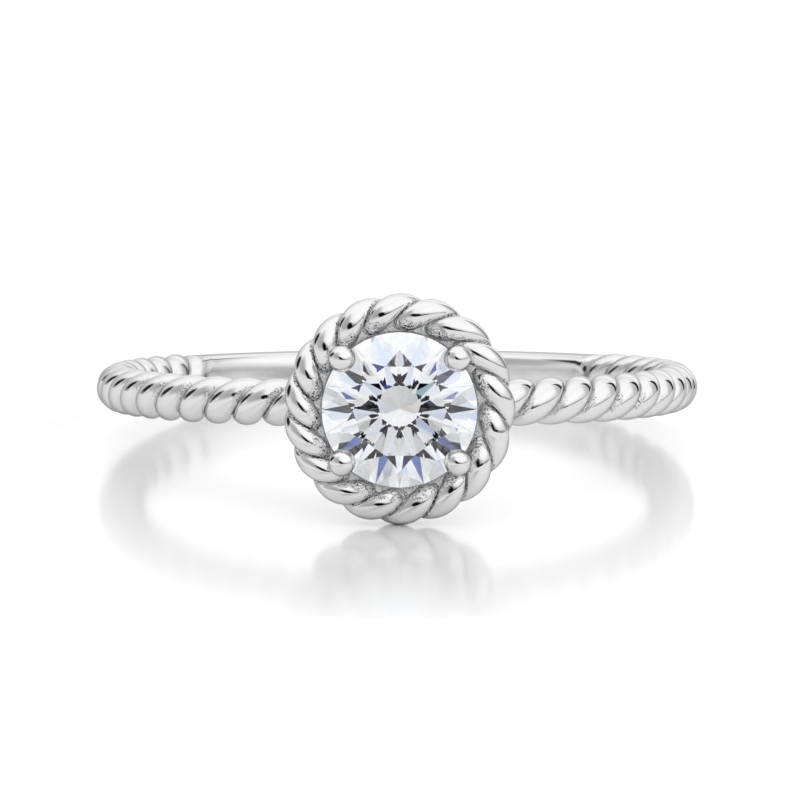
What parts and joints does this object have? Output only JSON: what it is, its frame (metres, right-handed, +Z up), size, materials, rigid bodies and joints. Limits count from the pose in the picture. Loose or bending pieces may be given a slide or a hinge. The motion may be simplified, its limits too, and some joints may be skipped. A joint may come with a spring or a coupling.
{
  "type": "twisted shank ring",
  "caption": "Finger ring with a rope-twist shank and plain back, and a round brilliant in ball-tipped prongs inside a rope halo.",
  "frame": {"origin": "on the table that the ring lies on, midway between the front of the prong tips and the back of the plain band, and midway between its two sides", "axes": "+Z up from the table, -Y the way the stone faces, +X to the right as seen from in front of the stone; the finger hole's axis leans 8.06 degrees from +Z towards +Y"},
  "size_m": [0.02, 0.0232, 0.0074],
  "materials": {
    "white_gold": "high polish, rhodium plated",
    "diamond": "cut and polished facets"
  },
  "bodies": {
    "root": {"shank": "white_gold", "setting": "white_gold", "stone": "diamond"}
  },
  "joints": []
}
